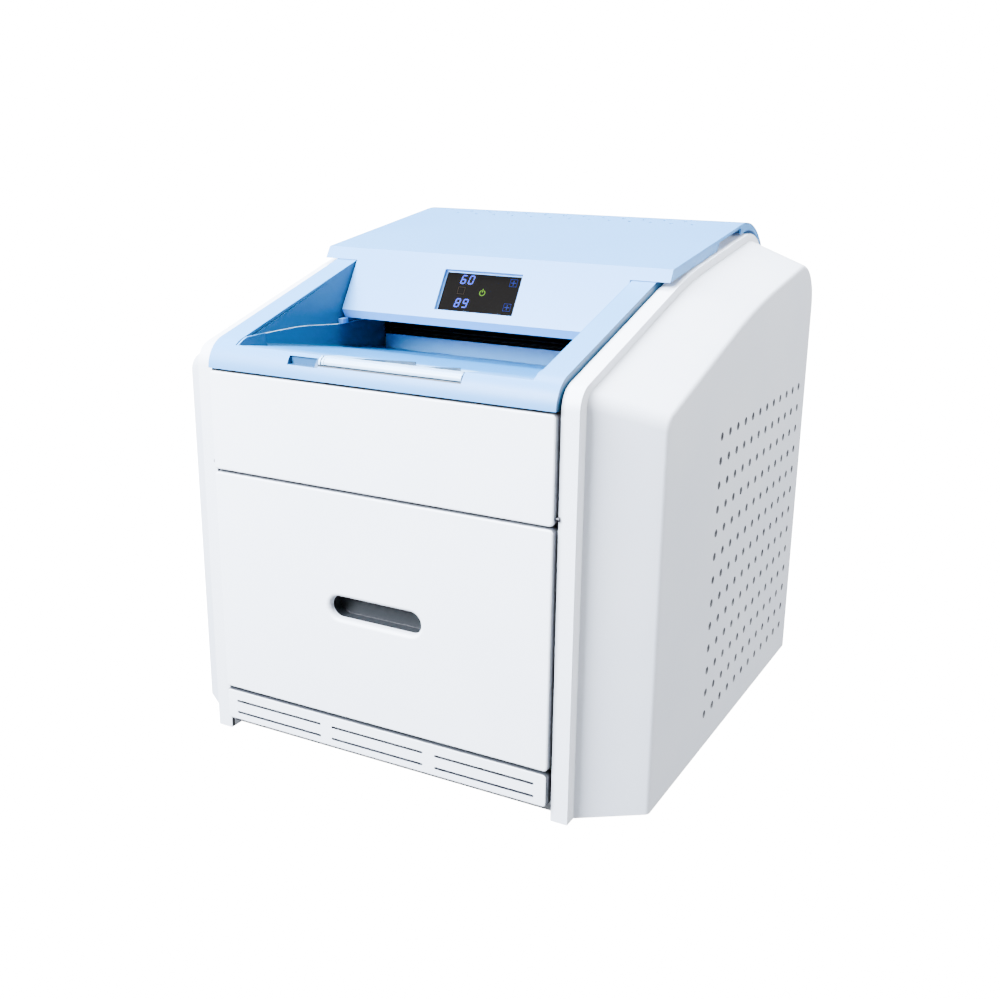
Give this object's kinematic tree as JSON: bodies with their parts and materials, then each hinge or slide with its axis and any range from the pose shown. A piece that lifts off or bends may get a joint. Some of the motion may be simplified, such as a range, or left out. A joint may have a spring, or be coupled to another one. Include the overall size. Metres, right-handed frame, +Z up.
{
  "type": "medical dry laser imager",
  "caption": "Tabletop film printer: white slanted side covers, pale-blue hinged top cover with a small display, deep-blue output tray, film drawer and front access door.",
  "frame": {"origin": "centre of the footprint on the table, under the feet", "axes": "+X to the machine's right as it is faced, +Y to its back, +Z up; the front panels face -Y"},
  "size_m": [0.609, 0.595, 0.6002],
  "materials": {
    "white_cover": "fine moulded grain, cool white",
    "pale_blue_cover": "fine moulded grain, pale blue",
    "tray_blue": "smooth moulded plastic, mid blue",
    "dark_recess": "moulded dark grey plastic",
    "display_glass": "smoked clear window",
    "display_panel": "lit numeric display on a green board",
    "chassis_steel": "zinc-plated sheet steel",
    "shaft_steel": "ground bright steel",
    "roller_rubber": "ground silicone rubber",
    "foot_rubber": "moulded black rubber",
    "bronze": "sintered bronze",
    "circuit_green": "solder-masked circuit board with black parts",
    "black_plastic": "moulded black plastic",
    "film_card": "stack of film in a pale wrapper",
    "filter_foam": "open grey filter mat",
    "painted_casting": "grey painted casting",
    "mirror_metal": "polished aluminium facets",
    "lens_glass": "clear lens"
  },
  "bodies": {
    "root": {"base_plate": "chassis_steel", "rubber_feet": "foot_rubber", "inner_plates": "chassis_steel", "cross_members": "chassis_steel", "shaft_bushes": "bronze", "left_side_frame": "white_cover", "right_side_frame": "white_cover", "left_side_cover": "white_cover", "right_side_cover": "white_cover", "rear_cover": "chassis_steel", "cover_screws": "shaft_steel", "top_frame": "pale_blue_cover", "tray_pan": "tray_blue", "lid_rests": "pale_blue_cover", "exit_guide": "dark_recess", "hinge_pins": "shaft_steel", "door_magnets": "painted_casting", "lower_grille": "white_cover", "air_filter": "filter_foam", "slide_outer_members": "chassis_steel", "drum_hood": "chassis_steel", "drive_motor": "black_plastic", "drive_belt": "foot_rubber", "optic_housing": "painted_casting", "optic_cover": "painted_casting", "mirror_motor": "black_plastic", "scan_lens": "lens_glass", "laser_module": "painted_casting", "power_supply": "chassis_steel", "control_board": "circuit_green", "fan_frame": "black_plastic", "fan_guard": "shaft_steel", "mains_inlet": "black_plastic", "network_socket": "chassis_steel"},
    "drawer": {"drawer_front": "white_cover", "handle_cup": "dark_recess", "film_tray_box": "black_plastic", "film_pack": "film_card", "slide_inner_members": "chassis_steel"},
    "drawer_slides": {"slide_middle_members": "chassis_steel"},
    "lid": {"top_cover": "pale_blue_cover", "display_window": "display_glass", "display_board": "display_panel", "lid_hinge_arms": "chassis_steel"},
    "front_door": {"front_access_door": "white_cover"},
    "stopper": {"film_stopper": "pale_blue_cover"},
    "drum": {"heat_drum": "painted_casting"},
    "press_1": {"press_roller_1": "roller_rubber"},
    "press_2": {"press_roller_2": "roller_rubber"},
    "press_3": {"press_roller_3": "roller_rubber"},
    "scan_front": {"scan_roller_front": "roller_rubber"},
    "scan_rear": {"scan_roller_rear": "roller_rubber"},
    "exit_lower": {"exit_roller_lower": "roller_rubber"},
    "exit_upper": {"exit_roller_upper": "roller_rubber"},
    "motor_rotor": {"motor_pulley": "shaft_steel"},
    "film_arm": {"pick_up_arm": "shaft_steel", "suction_cups": "roller_rubber"},
    "mirror": {"polygon_mirror": "mirror_metal"},
    "fan": {"fan_rotor": "black_plastic"},
    "rocker": {"power_rocker": "black_plastic"}
  },
  "joints": [
    {"name": "drawer_slide", "type": "slide", "parent": "root", "child": "drawer", "axis": [0, -1, 0], "range_m": [0, 0.43]},
    {"name": "slide_extension", "type": "slide", "parent": "root", "child": "drawer_slides", "axis": [0, -1, 0], "range_m": [0, 0.215]},
    {"name": "lid_hinge", "type": "hinge", "parent": "root", "child": "lid", "pos_m": [0, 0.2825, 0.544], "axis": [-1, 0, 0], "range_deg": [0, 60]},
    {"name": "door_hinge", "type": "hinge", "parent": "root", "child": "front_door", "pos_m": [0, -0.2905, 0.3438], "axis": [1, 0, 0], "range_deg": [0, 90]},
    {"name": "stopper_hinge", "type": "hinge", "parent": "root", "child": "stopper", "pos_m": [0, -0.287, 0.4723], "axis": [1, 0, 0], "range_deg": [0, 80]},
    {"name": "drum_spin", "type": "hinge", "parent": "root", "child": "drum", "pos_m": [0, 0.1325, 0.462], "axis": [1, 0, 0], "continuous": true},
    {"name": "press_1_spin", "type": "hinge", "parent": "root", "child": "press_1", "pos_m": [0, 0.21004, 0.4511], "axis": [1, 0, 0], "continuous": true},
    {"name": "press_2_spin", "type": "hinge", "parent": "root", "child": "press_2", "pos_m": [0, 0.19248, 0.51233], "axis": [1, 0, 0], "continuous": true},
    {"name": "press_3_spin", "type": "hinge", "parent": "root", "child": "press_3", "pos_m": [0, 0.13523, 0.54025], "axis": [1, 0, 0], "continuous": true},
    {"name": "scan_front_spin", "type": "hinge", "parent": "root", "child": "scan_front", "pos_m": [0, 0.21335, 0.349], "axis": [1, 0, 0], "continuous": true},
    {"name": "scan_rear_spin", "type": "hinge", "parent": "root", "child": "scan_rear", "pos_m": [0, 0.23165, 0.349], "axis": [1, 0, 0], "continuous": true},
    {"name": "exit_lower_spin", "type": "hinge", "parent": "root", "child": "exit_lower", "pos_m": [0, 0.0405, 0.449], "axis": [1, 0, 0], "continuous": true},
    {"name": "exit_upper_spin", "type": "hinge", "parent": "root", "child": "exit_upper", "pos_m": [0, 0.0405, 0.4673], "axis": [1, 0, 0], "continuous": true},
    {"name": "motor_spin", "type": "hinge", "parent": "root", "child": "motor_rotor", "pos_m": [0.203, 0.1725, 0.334], "axis": [1, 0, 0], "continuous": true},
    {"name": "film_arm_swing", "type": "hinge", "parent": "root", "child": "film_arm", "pos_m": [0, 0.2075, 0.307], "axis": [1, 0, 0], "range_deg": [0, 24]},
    {"name": "mirror_spin", "type": "hinge", "parent": "root", "child": "mirror", "pos_m": [0, -0.1475, 0.3463], "axis": [0, 0, 1], "continuous": true},
    {"name": "fan_spin", "type": "hinge", "parent": "root", "child": "fan", "pos_m": [-0.105, 0.2805, 0.404], "axis": [0, 1, 0], "continuous": true},
    {"name": "rocker_tilt", "type": "hinge", "parent": "root", "child": "rocker", "pos_m": [0.168, 0.2895, 0.0785], "axis": [1, 0, 0], "range_deg": [-16, 0]}
  ],
  "couplings": [
    {"joint": "slide_extension", "follows": "drawer_slide", "ratio": 0.5},
    {"joint": "press_1_spin", "follows": "drum_spin", "ratio": -8.75},
    {"joint": "press_2_spin", "follows": "drum_spin", "ratio": -8.75},
    {"joint": "press_3_spin", "follows": "drum_spin", "ratio": -8.75},
    {"joint": "motor_spin", "follows": "drum_spin", "ratio": 3.4286},
    {"joint": "scan_rear_spin", "follows": "scan_front_spin", "ratio": -1},
    {"joint": "exit_upper_spin", "follows": "exit_lower_spin", "ratio": -1}
  ]
}
